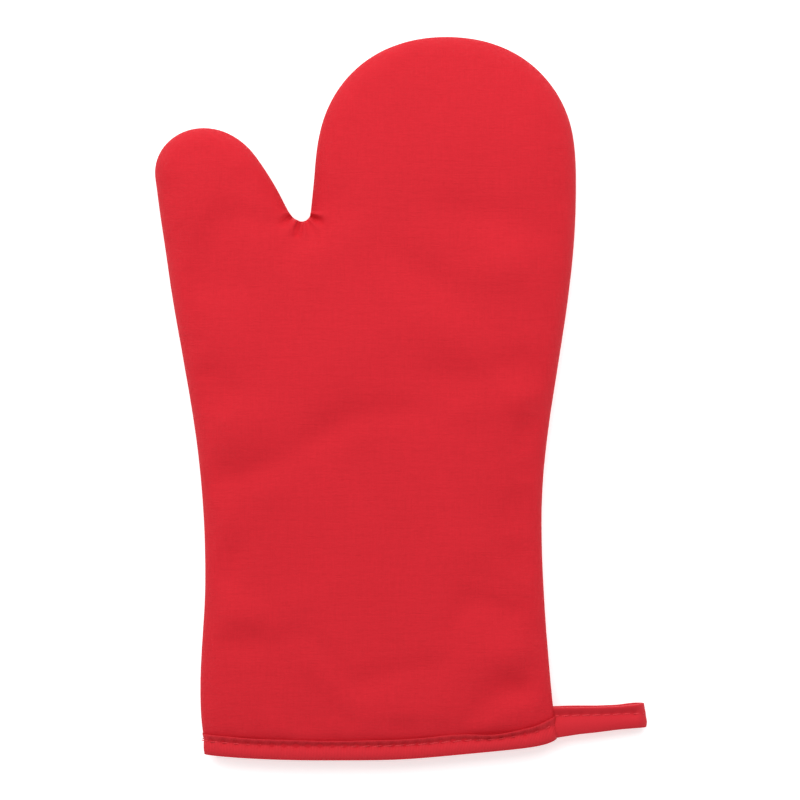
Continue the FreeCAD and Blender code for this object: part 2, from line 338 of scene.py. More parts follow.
def outline_curve():
    """Points along the outline, and the way inwards at each."""
    points, inward = [], []
    for here, there in zip(outline_knots, outline_knots[1:]):
        start, end = np.array(here[:2]), np.array(there[:2])
        heading, end_heading = math.radians(here[2]), math.radians(there[2])
        turn = (end_heading - heading + math.pi) % (2 * math.pi) - math.pi
        chord = np.linalg.norm(end - start)
        arm = chord / 3
        if abs(turn) > 1e-3:
            arm = chord * 2 / 3 * math.tan(turn / 4) / math.sin(turn / 2)
        first = start + arm * np.array((math.cos(heading), math.sin(heading)))
        last = end - arm * np.array((math.cos(end_heading), math.sin(end_heading)))
        steps = math.ceil(max(chord / point_spacing, abs(math.degrees(turn)) / turn_step))
        t = np.arange(steps)[:, None] / steps
        if there is outline_knots[-1]:
            t = np.arange(steps + 1)[:, None] / steps
        points.append((1 - t) ** 3 * start + 3 * (1 - t) ** 2 * t * first
                      + 3 * (1 - t) * t ** 2 * last + t ** 3 * end)
        way = ((1 - t) ** 2 * (first - start) + 2 * (1 - t) * t * (last - first)
               + t ** 2 * (end - last))
        way /= np.linalg.norm(way, axis=1)[:, None]
        inward.append(np.stack((way[:, 1], -way[:, 0]), axis=1))
    return np.concatenate(points), np.concatenate(inward)


outline, inward = outline_curve()


def distance_inside(points):
    """How far each point lies inside the outline, negative outside it."""
    found = np.empty(len(points))
    for first in range(0, len(points), 1000):
        some = points[first:first + 1000]
        gap = some[:, None, :] - outline[None, :, :]
        near = np.argmin((gap ** 2).sum(2), axis=1)
        index = np.arange(len(some))
        offset = gap[index, near]
        across = (offset * inward[near]).sum(1)
        length = np.linalg.norm(offset, axis=1)
        close = length < point_spacing
        found[first:first + 1000] = np.where(close, across, np.where(across > 0, length, -length))
    return found


def roll_profile(distance, reach, power):
    """Rise from 0 at the edge to 1 at reach, upright at the edge."""
    t = np.clip(1 - distance / reach, 0.0, 1.0)
    return (1 - t ** power) ** (1 / power)


def relief(x, y):
    """Soft bumps and hollows of the front."""
    height = np.zeros_like(x)
    for centre_x, centre_y, length, width, lean, rise in soft_relief:
        angle = math.radians(lean)
        along = (x - centre_x) * math.cos(angle) + (y - centre_y) * math.sin(angle)
        across = (y - centre_y) * math.cos(angle) - (x - centre_x) * math.sin(angle)
        height += rise * np.exp(-0.5 * ((along / length) ** 2 + (across / width) ** 2))
    return height


def creases(x, y):
    """Sharp little creases where the seam is pulled tight in the crotch."""
    height = np.zeros_like(x)
    for start, end, depth in crotch_creases:
        start, end = np.array(start), np.array(end)
        way = end - start
        length = np.linalg.norm(way)
        way /= length
        along = (x - start[0]) * way[0] + (y - start[1]) * way[1]
        across = (x - start[0]) * -way[1] + (y - start[1]) * way[0]
        share = along / length
        fade = smooth_step(share, -0.3, 0.05) * (1 - smooth_step(share, 0.1, 1.2))
        width = 0.5 + 0.7 * np.clip(share, 0, 1)
        height -= depth * fade * np.exp(-0.5 * (across / width) ** 2)
        height += 0.45 * depth * fade * np.exp(-0.5 * ((np.abs(across) - 2.4 * width) / (1.2 * width)) ** 2)
    return height


def above_binding(height):
    """1 under the binding, falling to 0 where the padding is free of it."""
    free = np.clip(height - binding_hold_from, 0.0, None)
    return np.exp(-free / binding_hold) * (1 + free / (2.5 * binding_hold))


def puckers(x, height):
    """Small gathers in the cloth just above the binding."""
    across = 0.55 * np.sin(x / 2.9 + 1.3 * np.sin(x / 11.0)) + 0.35 * np.sin(x / 1.75 + 2.0)
    across += 0.5 * np.sin(x / 6.3 + 0.8)
    return pucker_depth * across * np.exp(-((height - pucker_at) / pucker_reach) ** 2)


def stitched_groove(height):
    """How far the stitches of the binding pull the wall in."""
    return groove_depth * np.exp(-((height - groove_at) / groove_reach) ** 2)


def front_detail(x, y, distance):
    """Bumps, hollows and creases that stand on the front's plain padded shape."""
    free = smooth_step(distance, *relief_from_seam) * smooth_step(y - hem(x), *relief_from_hem)
    return relief_strength * relief(x, y) * free + creases(x, y) * smooth_step(distance, -0.2, 0.5)


def front_height(x, y, distance):
    """Height of the front's outer face."""
    up_hem = y - hem(x)
    crown = np.interp(y, *zip(*crown_at)) - seam_height - rim
    z = crown * roll_profile(distance, front_roll, front_roll_power)
    z = z * (1 - binding_pinch * above_binding(up_hem))
    inner = smooth_step(distance, 2.0, 10.0)
    z = z + (puckers(x, up_hem) - stitched_groove(up_hem)) * inner
    return seam_height + rim + z


def back_height(x, y, distance):
    """Height of the back's outer face, flat where it lies on the table."""
    up_hem = y - hem(x)
    low = back_lift * above_binding(up_hem - back_lift_from)
    drop = (seam_height - rim - low) * roll_profile(distance, back_roll, back_roll_power)
    return seam_height - rim - drop


def cuff_pull(x, y):
    """Draws the cuff in a little where the binding goes round it."""
    share = np.where(x < 0, cuff_draw_in[0], cuff_draw_in[1])
    return x * (1 - share * above_binding(y - hem(x)))


# ---------------------------------------------------------------- panels


def level_ends(ring):
    """Slides the ends of a ring so that they start at the same height above the hem."""
    height = ring[:, 1] - hem(ring[:, 0])
    moved = ring.copy()
    middle = len(ring) // 2
    for part, end in ((slice(0, middle), 0), (slice(middle, None), -1)):
        fade = np.clip(1 - height[part] / 25.0, 0.0, 1.0)
        moved[part, 1] += (panel_start - height[end]) * fade
    return moved


def plan_rings():
    """Rings of points that follow the seam, from the seam inwards."""
    return [level_ends(outline + inward * distance) for distance in ring_distances]


def triangle_grid(spacing, low, high):
    """Points of an even triangular grid in a box."""
    rows = np.arange(low[1], high[1], spacing * math.sqrt(0.75))
    columns = np.arange(low[0], high[0], spacing)
    x, y = np.meshgrid(columns, rows)
    x = x + (np.arange(len(rows)) % 2)[:, None] * spacing / 2
    return np.stack((x.ravel(), y.ravel()), axis=1)


def grid_inside(spacing, distance):
    """Grid points that lie further inside the outline than a distance, and clear of the hem."""
    points = triangle_grid(spacing, (drawn_left, 0.0), (drawn_right, drawn_top))
    inside = distance_inside(points) > distance
    above = points[:, 1] - hem(points[:, 0]) > panel_start + 0.7 * spacing
    return points[inside & above]


def inside_points():
    """Points inside the rings: an even grid that gets finer towards the crotch."""
    chosen = []
    for spacing, nearest, furthest in crotch_grid:
        points = grid_inside(spacing, ring_distances[-1] + 0.6 * spacing)
        away = np.linalg.norm(points - crotch, axis=1)
        chosen.append(points[(away >= nearest) & (away < furthest)])
    return np.concatenate(chosen)


def closed_by_hem(ring, spacing):
    """A ring of points up and down the seam, with points along the hem that close it."""
    hem_x = np.arange(ring[0, 0] + spacing, ring[-1, 0] - spacing / 2, spacing)
    hem_line = np.stack((hem_x, hem(hem_x) + panel_start), axis=1)[::-1]
    return np.concatenate((ring, hem_line))


def filled_with_faces(border, grid):
    """Points of a border and a grid together, and the faces that join them, as rows of their numbers."""
    points = np.concatenate((border, grid))
    edges = [(i, (i + 1) % len(border)) for i in range(len(border))]
    made = delaunay_2d_cdt([Vector(point) for point in points], edges, [], 1, 1e-5)
    faces = [tuple(made[3][i][0] for i in face) for face in made[2]]
    return points, faces


def panel_plan():
    """A panel's points and faces seen from above, with each point's distance from the seam."""
    rings = plan_rings()
    count = len(outline)
    faces = []
    for ring in range(len(rings) - 1):
        for i in range(count - 1):
            outer, inner = ring * count + i, (ring + 1) * count + i
            faces.append((outer, inner, inner + 1, outer + 1))
    points, inner_faces = filled_with_faces(closed_by_hem(rings[-1], grid_spacing), inside_points())
    first = (len(rings) - 1) * count
    faces += [tuple(first + i for i in face) for face in inner_faces]
    plan = np.concatenate(rings[:-1] + [points])
    distance = np.concatenate([np.full(count, d) for d in ring_distances])
    distance = np.concatenate((distance, distance_inside(points[count:])))
    return plan, faces, distance


plan, plan_faces, seam_distance = panel_plan()
seam_distance = np.clip(seam_distance, 0.0, None)
ring_size = len(outline)


def smoothed(values, fixed, rounds):
    """Values evened out over neighbouring points, apart from the fixed ones."""
    pairs = set()
    for face in plan_faces:
        for a, b in zip(face, face[1:] + face[:1]):
            pairs.add((min(a, b), max(a, b)))
    pairs = np.array(sorted(pairs))
    count = np.bincount(pairs.ravel(), minlength=len(values)).astype(float)
    for _ in range(rounds):
        total = np.bincount(pairs[:, 0], values[pairs[:, 1]], len(values))
        total += np.bincount(pairs[:, 1], values[pairs[:, 0]], len(values))
        values = np.where(fixed, values, total / count)
    return values


def panel_surface(front):
    """The outer face of one panel as points in pattern millimetres."""
    x, y = plan[:, 0], plan[:, 1]
    height = front_height if front else back_height
    z = height(x, y, seam_distance)
    for ring, lift in enumerate(ring_lifts):
        part = slice(ring * ring_size, (ring + 1) * ring_size)
        away = lift + seam_split
        z[part] = seam_height + (away if front else -away)
    near_crotch = np.linalg.norm(plan - crotch, axis=1) < unsmoothed_crotch
    fixed = (seam_distance < unsmoothed_edge) | near_crotch | (y - hem(x) < unsmoothed_hem)
    z = smoothed(z, fixed, smoothing_rounds)
    if front:
        z = z + front_detail(x, y, seam_distance)
    return np.stack((cuff_pull(x, y), y, z), axis=1)


def face_triangles(faces):
    """Faces split into triangles."""
    found = []
    for face in faces:
        for k in range(1, len(face) - 1):
            found.append((face[0], face[k], face[k + 1]))
    return np.array(found)


plan_triangles = face_triangles(plan_faces)


def point_normals(points, front):
    """Outward direction at each point of a panel."""
    a, b, c = (points[plan_triangles[:, k]] for k in range(3))
    cross = np.cross(b - a, c - a)
    normals = np.zeros_like(points)
    for k in range(3):
        for axis in range(3):
            normals[:, axis] += np.bincount(plan_triangles[:, k], cross[:, axis], len(points))
    normals /= np.linalg.norm(normals, axis=1)[:, None]
    return normals if front else -normals


def flat_pattern(points):
    """Where each point lies on the flat cloth: the edge unrolls outwards from the innermost ring."""
    flat = plan.copy()
    last = len(ring_distances) - 1
    run = np.zeros(ring_size)
    for ring in range(last - 1, -1, -1):
        here = slice(ring * ring_size, (ring + 1) * ring_size)
        inner = slice((ring + 1) * ring_size, (ring + 2) * ring_size)
        run = run + np.linalg.norm(points[here] - points[inner], axis=1)
        edge = plan[last * ring_size:(last + 1) * ring_size]
        flat[here] = edge - inward * run[:, None]
    return flat


def hem_share(up_hem):
    """Share of the full wall thickness at a height above the hem: thin under the binding."""
    return hem_squeeze + (1 - hem_squeeze) * smooth_step(up_hem, *hem_squeeze_band)


def squeeze():
    """Share of the full wall thickness at each point: thin at the seam and under the binding."""
    at_seam = seam_squeeze + (1 - seam_squeeze) * smooth_step(seam_distance, 0.0, seam_squeeze_reach)
    return at_seam * hem_share(plan[:, 1] - hem(plan[:, 0]))


wall_share = squeeze()
thumb_joint = joint_of["thumb_fold"]
thumb_axis = np.array(thumb_joint["axis"][:2])
thumb_axis = thumb_axis / np.linalg.norm(thumb_axis)
thumb_way = np.array((-thumb_axis[1], thumb_axis[0]))
crotch_place = to_frame((crotch[0], crotch[1], 0.0))
thumb_start = float(crotch_place[:2] @ thumb_way)


def thumb_faces():
    """Which faces belong to the thumb: those past the line from the crotch across its root."""
    place = to_frame(np.column_stack((plan, np.zeros(len(plan)))))
    past_line = (place[:, :2] @ thumb_way > thumb_start + 1e-6) & (plan[:, 0] < crotch[0])
    return [any(past_line[i] for i in face) for face in plan_faces]


on_thumb = thumb_faces()

# ---------------------------------------------------------------- making meshes


def new_object(name, points, faces, uv=None, normals=None, material=None):
    """A smooth mesh object from points in pattern millimetres. uv and normals are one per face corner."""
    mesh = bpy.data.meshes.new(name)
    mesh.from_pydata(to_frame(points).tolist(), [], [tuple(int(i) for i in face) for face in faces])
    if uv is not None:
        layer = mesh.uv_layers.new(name="cloth")
        layer.data.foreach_set("uv", np.asarray(uv, np.float32).ravel())
    mesh.polygons.foreach_set("use_smooth", [True] * len(mesh.polygons))
    mesh.update()
    if normals is not None:
        mesh.normals_split_custom_set(np.asarray(normals, float).tolist())
    made = bpy.data.objects.new(name, mesh)
    bpy.context.scene.collection.objects.link(made)
    if material:
        mesh.materials.append(material)
    return made


def border_edges(faces):
    """Edges that only one face uses, in that face's direction."""
    seen = {}
    for face in faces:
        for a, b in zip(face, face[1:] + face[:1]):
            seen[(a, b)] = True
    return [edge for edge in seen if (edge[1], edge[0]) not in seen]


def layer_piece(name, panel, depths, thumb, material):
    """One layer of one panel, as a closed thin shell on the palm's or on the thumb's side of the cut."""
    shell = [face for face, is_thumb in zip(plan_faces, on_thumb) if is_thumb == thumb]
    used = sorted({i for face in shell for i in face})
    place = {old: new for new, old in enumerate(used)}
    shell = [tuple(place[i] for i in face) for face in shell]
    if not panel["front"]:
        shell = [face[::-1] for face in shell]
    share = wall_share[used][:, None]
    points, normals = panel["points"][used], panel["normals"][used]
    outer = points - normals * depths[0] * share
    inner = points - normals * depths[1] * share
    if depths[0] == 0.0:
        outer = outer - panel["tuck"][used]
    count = len(used)
    rims = border_edges(shell)
    faces = list(shell)
    faces += [tuple(i + count for i in face[::-1]) for face in shell]
    faces += [(b, a, a + count, b + count) for a, b in rims]
    every = np.concatenate((outer, inner))
    every_normal = np.concatenate((normals, -normals))
    flat = np.tile(panel["flat"][used] * mm, (2, 1))
    uv = [flat[i] for face in faces for i in face]
    corner_normals = [every_normal[i] for face in faces[:2 * len(shell)] for i in face]
    for face in faces[2 * len(shell):]:
        a, b, c = every[face[0]], every[face[1]], every[face[2]]
        rim_normal = np.cross(b - a, c - a)
        corner_normals += [rim_normal / max(np.linalg.norm(rim_normal), 1e-9)] * 4
    return new_object(name, every, faces, uv, corner_normals, material)


# ---------------------------------------------------------------- node maths


class Value:
    """A number on its way through a node tree, so that shader maths can be written as sums."""

    def __init__(self, maker, socket):
        self.maker, self.socket = maker, socket

    def maths(self, operation, *values):
        node = self.maker.node("ShaderNodeMath", {"operation": operation})
        for socket, value in zip(node.inputs, values):
            self.maker.put(socket, value)
        return Value(self.maker, node.outputs[0])

    def __add__(self, other):
        return self.maths("ADD", self, other)

    def __sub__(self, other):
        return self.maths("SUBTRACT", self, other)

    def __rsub__(self, other):
        return self.maths("SUBTRACT", other, self)

    def __mul__(self, other):
        return self.maths("MULTIPLY", self, other)

    def __truediv__(self, other):
        return self.maths("DIVIDE", self, other)

    __radd__ = __add__
    __rmul__ = __mul__

    def sin(self):
        return self.maths("SINE", self)

    def cos(self):
        return self.maths("COSINE", self)

    def size(self):
        return self.maths("ABSOLUTE", self)

    def kept_in_range(self):
        return self.maths("MINIMUM", self.maths("MAXIMUM", self, 0.0), 1.0)

    def whole(self):
        return self.maths("FLOOR", self)

    def wrapped(self, high):
        return self.maths("FLOORED_MODULO", self, high)


class NodeMaker:
    """Makes nodes in one tree."""

    def __init__(self, tree):
        self.tree = tree

    def put(self, socket, value):
        if isinstance(value, Value):
            self.tree.links.new(value.socket, socket)
        elif isinstance(value, bpy.types.NodeSocket):
            self.tree.links.new(value, socket)
        else:
            socket.default_value = value

    def node(self, kind, settings=None, **sockets):
        """A node: its settings first, then its sockets, each by its name or as _ and its number."""
        node = self.tree.nodes.new(kind)
        for name, value in (settings or {}).items():
            setattr(node, name, value)
        for name, value in sockets.items():
            label = name.replace("_", " ").strip()
            named = [socket for socket in node.inputs if socket.name == label and socket.enabled]
            self.put(named[0] if named else node.inputs[int(label)], value)
        return node

    def place(self):
        """Where a point lies in the object."""
        return self.node("ShaderNodeTexCoord").outputs["Object"]

    def noise(self, place, scale, detail=2.0, roughness=0.5):
        noise = self.node("ShaderNodeTexNoise", Vector=place, Scale=scale, Detail=detail, Roughness=roughness)
        return Value(self, noise.outputs[0])

    def grain(self, place, counts, detail=2.0, roughness=0.5):
        """Noise with its own number of grains to a metre in each direction."""
        stretched = self.node("ShaderNodeVectorMath", {"operation": "MULTIPLY"}, Vector=place, _1=counts)
        return self.noise(stretched.outputs[0], 1.0, detail, roughness)

    def mixed(self, share, first, second):
        """A colour between two."""
        mix = self.node("ShaderNodeMix", {"data_type": "RGBA"}, _0=share, _6=(*first, 1), _7=(*second, 1))
        return mix.outputs[2]


# ---------------------------------------------------------------- materials


def new_material(name, roughness, specular):
    """A material with its tree maker and its shader."""
    material = bpy.data.materials.new(name)
    material.use_nodes = True
    shader = material.node_tree.nodes["Principled BSDF"]
    shader.inputs["Roughness"].default_value = roughness
    shader.inputs["Specular IOR Level"].default_value = specular
    return material, NodeMaker(material.node_tree), shader


def cloth_place(make):
    """Where a point lies on its cloth, in metres: as a vector and as its two parts."""
    place = make.node("ShaderNodeUVMap", {"uv_map": "cloth"}).outputs[0]
    apart = make.node("ShaderNodeSeparateXYZ", Vector=place)
    return place, Value(make, apart.outputs[0]), Value(make, apart.outputs[1])


def coloured(make, shader, share, first, second):
    """Colours the surface between two colours."""
    make.put(shader.inputs["Base Color"], make.mixed(share.kept_in_range(), first, second))


def bumped(make, shader, height, depth):
    """Gives the surface a fine relief, with its depth in millimetres."""
    bump = make.node("ShaderNodeBump", Height=height, Distance=depth * mm, Strength=1.0)
    make.put(shader.inputs["Normal"], bump.outputs[0])


def woven(name, colour, dark, pitch, bump, slub):
    """Plain-weave cotton: yarns over and under each other, some thicker than others."""
    material, make, shader = new_material(name, 0.70, 0.22)
    place, across, up = cloth_place(make)
    # The yarns wander a little from straight lines
    across = across + (make.grain(place, (60, 60, 60), 1.0) - 0.5) * 0.0006
    up = up + (make.grain(place, (47, 47, 47), 1.0) - 0.5) * 0.0006
    warp = (across * (math.pi / pitch)).sin()
    weft = (up * (math.pi / pitch)).sin()
    over = ((across / pitch).whole() + (up / pitch).whole()).wrapped(2.0) * 2 - 1
    yarns = warp * warp * (0.5 + over * 0.3) + weft * weft * (0.5 - over * 0.3)
    thick = make.grain(place, (90, 1900, 90)) + make.grain(place, (1900, 90, 90))
    fuzz = make.grain(place, (2600, 2600, 2600))
    cloudy = make.grain(place, (28, 28, 28), 3.0)
    streaks = make.grain(place, (420, 2300, 420), 2.0, 0.6)
    tone = 0.30 + (yarns - 0.5) * 0.10 + (thick - 1.0) * (slub * 0.35) + (fuzz - 0.5) * 0.35
    tone = tone + (cloudy - 0.5) * 0.25 + (streaks - 0.5) * 0.45
    coloured(make, shader, tone, colour, dark)
    bumped(make, shader, yarns + thick * slub + fuzz * 0.5 + streaks * 1.2, bump)
    return material


def ribbed(name, colour, dark, pitch, bump, rib_and_shade_strength):
    """Binding tape: a fine rib across the tape, with its weft showing between, and painted shade darkening
    the hollows between the ribs.
    """
    material, make, shader = new_material(name, 0.8, 0.25)
    place, along, across = cloth_place(make)
    wander = (make.grain(place, (80, 200, 80), 1.0) - 0.5) * 0.0005
    rib = ((along + wander) * (math.pi / pitch)).sin().size()
    weft = (across * (math.pi / 0.00042)).sin().size()
    fuzz = make.grain(place, (1800, 2600, 1800))
    # Painted shade: the colour goes darker in the hollows between the ribs, where the relief is lowest
    tone = (1 - rib) * (rib_and_shade_strength * 0.45) + (fuzz - 0.5) * 0.5 + 0.12
    coloured(make, shader, tone, colour, dark)
    bumped(make, shader, rib * rib_and_shade_strength + weft * 0.3 + fuzz * 0.5, bump)
    return material


def fluffy(name, colour, dark):
    """Polyester wadding: a soft tangle of fibres."""
    material, make, shader = new_material(name, 1.0, 0.1)
    clumps = make.noise(make.place(), 220.0, 4.0, 0.65)
    fibres = make.grain(make.place(), (500, 2600, 2600), 4.0, 0.7)
    coloured(make, shader, (clumps - 0.4) * 1.6 + (fibres - 0.5) * 0.8, dark, colour)
    bumped(make, shader, clumps * 1.5 + fibres, 0.6)
    return material


def spun(name, colour, dark):
    """Sewing thread: fine fibres round its twist."""
    material, make, shader = new_material(name, 0.55, 0.35)
    fibres = make.noise(make.place(), 4200.0)
    coloured(make, shader, (fibres - 0.45) * 2.0, colour, dark)
    bumped(make, shader, fibres, 0.03)
    return material


# ---------------------------------------------------------------- cloth simulation


def cloth_mesh(front, spacing):
    """An even, coarse mesh of a panel for the cloth to move on."""
    ring = level_ends(outline + inward * cloth_inset)
    step = max(1, round(spacing / point_spacing))
    ring = np.concatenate((ring[:-1:step], ring[-1:]))
    points, faces = filled_with_faces(closed_by_hem(ring, spacing), grid_inside(spacing, 0.7 * spacing))
    distance = np.clip(distance_inside(points), 0.0, None)
    height = front_height if front else back_height
    z = height(points[:, 0], points[:, 1], distance)
    if front:
        z = z + front_detail(points[:, 0], points[:, 1], distance)
    else:
        faces = [face[::-1] for face in faces]
    return np.column_stack((points, z)), faces, distance


def places_of(mesh):
    """Every point of a mesh, in metres."""
    places = np.empty(3 * len(mesh.vertices))
    mesh.vertices.foreach_get("co", places)
    return places.reshape(-1, 3)


def simulated(start, faces, held):
    """How far each point of a piece of cloth moves when padding pushes it and its seam holds it."""
    cloth = new_object("cloth", start, faces)
    pins = cloth.vertex_groups.new(name="sewn down")
    for number, weight in enumerate(held):
        pins.add([number], float(weight), "REPLACE")
    moving = cloth.modifiers.new("cloth", "CLOTH")
    moving.point_cache.frame_end = cloth_frames
    settings = moving.settings
    settings.quality = 6
    settings.mass = 0.3
    settings.tension_stiffness = 20
    settings.compression_stiffness = 20
    settings.shear_stiffness = 8
    settings.bending_stiffness = cloth_bending
    settings.vertex_group_mass = "sewn down"
    settings.pin_stiffness = 1
    settings.shrink_min = -cloth_ease
    settings.use_pressure = True
    settings.uniform_pressure_force = cloth_pressure
    settings.effector_weights.gravity = 0
    for number in range(1, cloth_frames + 1):
        bpy.context.scene.frame_set(number)
    graph = bpy.context.evaluated_depsgraph_get()
    moved = bpy.data.meshes.new_from_object(cloth.evaluated_get(graph))
    movement = (places_of(moved) - places_of(cloth.data)) / mm
    bpy.data.objects.remove(cloth)
    bpy.data.meshes.remove(moved)
    bpy.context.scene.frame_set(1)
    return movement


def cloth_movement(front):
    """How far each point of a panel moves with the simulated cloth."""
    passed = np.zeros((len(plan), 3))
    start, faces, distance = cloth_mesh(front, cloth_spacing)
    up_hem = start[:, 1] - hem(start[:, 0])
    held = np.maximum(1 - smooth_step(distance, *cloth_free_of_seam),
                      1 - smooth_step(up_hem, *cloth_free_of_hem))
    movement = simulated(start, faces, held)
    length = np.linalg.norm(movement, axis=1)[:, None]
    movement *= np.minimum(1.0, cloth_furthest / np.maximum(length, 1e-6)) * (1 - held)[:, None]
    tree = KDTree(len(start))
    for number, point in enumerate(start):
        tree.insert((point[0], point[1], 0.0), number)
    tree.balance()
    for number, point in enumerate(plan):
        near = tree.find_n((point[0], point[1], 0.0), 9)
        weights = np.array([math.exp(-(found[2] / (0.8 * cloth_spacing)) ** 2) for found in near])
        if weights.sum() > 1e-9:
            rows = [found[1] for found in near]
            passed[number] = (movement[rows] * weights[:, None]).sum(0) / weights.sum()
    return passed


def make_panel(front):
    """A panel's outer face with all that its layers need."""
    points = panel_surface(front) + cloth_movement(front)
    if not front:
        points[:, 2] = np.clip(points[:, 2], 0.0, None)
    tuck = np.zeros_like(points)
    for ring, amount in enumerate(seam_tuck):
        part = slice(ring * ring_size, (ring + 1) * ring_size)
        tuck[part, :2] = -inward * amount
    return {"front": front, "points": points, "normals": point_normals(points, front),
            "flat": flat_pattern(points), "tuck": tuck}


# ---------------------------------------------------------------- cuff


def side_at(y, far):
    """Where the outline stands at a height y on the thumb side or on the far side."""
    half = len(outline) // 2
    side = outline[half:][::-1] if far else outline[:half]
    rising = side[:cuff_side_points]
    return np.interp(y, rising[:, 1], rising[:, 0])


def cuff_loop(height, shares, fronts):
    """The closed line round the cuff's outer face at a height above the hem, as x, y and z."""
    left = side_at(hem(cuff_ends[0]) + height, False)
    right = side_at(hem(cuff_ends[1]) + height, True)
    x = left + shares * (right - left)
    distance = np.minimum(shares, 1 - shares) * (right - left)
    y = hem(x) + height
    z = np.where(fronts, front_height(x, y, distance), back_height(x, y, distance))
    return np.stack((cuff_pull(x, y), y, z), axis=1)


def cuff_columns():
    """Evenly spaced places round the cuff: each one's share of the way across, and if it is in front."""
    # Closer together at the two sides, where the line turns back
    t = np.linspace(0, math.pi, 3000)
    across = (1 - np.cos(t)) / 2
    across = np.sign(across - 0.5) * np.abs(2 * across - 1) ** 0.4 / 2 + 0.5
    across[0], across[-1] = 0.0, 1.0
    shares = np.concatenate((across, across[::-1]))
    fronts = np.concatenate((np.ones(len(across), bool), np.zeros(len(across), bool)))
    line = cuff_loop(4.0, shares, fronts)
    steps = np.linalg.norm(np.roll(line, -1, axis=0) - line, axis=1)
    run = np.concatenate(([0.0], np.cumsum(steps)))
    stitches = round(run[-1] / binding_pitch)
    count = stitches * columns_per_stitch
    places = np.arange(count) * run[-1] / count
    index = np.searchsorted(run, places, side="right") - 1
    share = (places - run[index]) / np.maximum(steps[index], 1e-9)
    after = (index + 1) % len(shares)
    return shares[index] * (1 - share) + shares[after] * share, fronts[index], run[-1] / stitches


def even_out(values, rounds):
    """A closed row of values, smoothed along its length."""
    for _ in range(rounds):
        values = (np.roll(values, 1, axis=0) + 2 * values + np.roll(values, -1, axis=0)) / 4
    return values


def cuff_at(height, shares, fronts):
    """Points round the cuff at one height, with the outward way at each."""
    line = even_out(cuff_loop(height, shares, fronts), 6)
    way = np.roll(line, -1, axis=0) - np.roll(line, 1, axis=0)
    out = np.stack((-way[:, 2], np.zeros(len(way)), way[:, 0]), axis=1)
    out /= np.linalg.norm(out, axis=1)[:, None]
    return line, even_out(out, 4)


def wall_at_cuff(height):
    """Thickness of the whole wall at a height above the hem."""
    return lining[1] * float(hem_share(height))


def waves(run, parts):
    """Waves along a run, added up."""
    return sum(height * np.sin(run / length + start) for height, length, start in parts)


def between_stitches(run, pitch):
    """0 at a needle hole and 1 between two, along a row of stitches."""
    return 0.5 - 0.5 * np.cos(2 * np.pi * run / pitch)


def make_strip(name, rows, uv, material, closed):
    """A tube from rows of points: each row is a closed section, and closed joins the last to the first."""
    count, section = rows.shape[:2]
    faces, corners = [], []
    for i in range(count if closed else count - 1):
        there = (i + 1) % count
        for k in range(section):
            up = (k + 1) % section
            faces.append((i * section + k, there * section + k, there * section + up, i * section + up))
            corners += [uv[i, k], uv[i + 1, k], uv[i + 1, k + 1], uv[i, k + 1]]
    if not closed:
        for end, step in ((0, 1), (count - 1, -1)):
            for k in range(section // 2 - 1):
                across = section - 1 - k
                face = [end * section + i for i in (k, k + 1, across - 1, across)]
                faces.append(tuple(face[::step]))
                corners += [uv[end, k]] * 4
    return new_object(name, rows.reshape(-1, 3), faces, np.array(corners) * mm, None, material)


def make_binding(material):
    """The tape folded over the hem, with its edge line, its stitched groove and its puffed body."""
    shares, fronts, pitch = cuff_columns()
    run = np.arange(len(shares)) * pitch / columns_per_stitch
    free = between_stitches(run, pitch)
    stitched = tape_swell * free - tape_dent * (1 - free) ** 4
    wobble = waves(run, tape_waves)
    edge_wave = waves(run, tape_edge_waves)
    heights, offsets = np.array(binding_skin).T
    from_corner = (1 - shares) * (cuff_ends[1] - cuff_ends[0])
    rise = corner_rise * np.exp(-(from_corner / corner_reach) ** 2)
    lines = {}
    for height in sorted({*heights, *binding_back}):
        lines[height] = cuff_at(height + rise * smooth_step(height, *corner_rise_band), shares, fronts)

    def row(height, offset, inside=False):
        line, out = lines[height]
        offset = offset * (1 - np.where(out[:, 0] < 0, *side_flush) * out[:, 0] ** 2)
        if inside:
            offset = -wall_at_cuff(height) - offset
        place = line + out * offset[:, None]
        dip = edge_dip * np.exp(-((line[:, 0] - edge_dip_x) / edge_dip_reach) ** 2) * (out[:, 2] > 0)
        place[:, 1] += edge_wave * smooth_step(height, 6.5, 8.5) - dip * smooth_step(height, 2.5, 8.5)
        return place

    def skin_row(index, inside):
        height = heights[index]
        groove = math.exp(-((height - stitch_height) / tape_groove_reach) ** 2)
        offset = offsets[index] + groove * stitched + smooth_step(height, 0.2, 1.5) * wobble
        return row(height, np.maximum(offset, binding_thinnest), inside)

    top = len(heights) - 1
    mid_wall = -wall_at_cuff(0) / 2
    rows = [skin_row(index, True) for index in range(top, 0, -1)]
    rows.append(row(heights[0], mid_wall))
    rows += [skin_row(index, False) for index in range(1, top + 1)]
    rows += [row(height, binding_clear) for height in binding_back]
    rows.append(row(binding_back[-1], mid_wall))
    rows += [row(height, binding_clear, True) for height in binding_back[::-1]]
    rows = np.stack(rows, axis=1)

    count, section = rows.shape[:2]
    up_skin = np.concatenate(([0.0], np.cumsum(np.hypot(np.diff(heights), np.diff(offsets)))))
    across = np.concatenate((-up_skin[:0:-1], up_skin))
    across = np.concatenate((across, np.full(section - len(across), across[-1]), across[:1]))
    uv = np.empty((count + 1, section + 1, 2))
    uv[:, :, 0] = (np.arange(count + 1) * pitch / columns_per_stitch)[:, None]
    uv[:, :, 1] = across
    piece = make_strip("cuff_binding_tape", rows, uv, material, True)
    groove = int(np.argmin(np.abs(heights - stitch_height)))
    out = lines[heights[groove]][1]
    return piece, [(rows[:, top + groove], out), (rows[:, top - groove], -out)], pitch


# ---------------------------------------------------------------- loop of tape


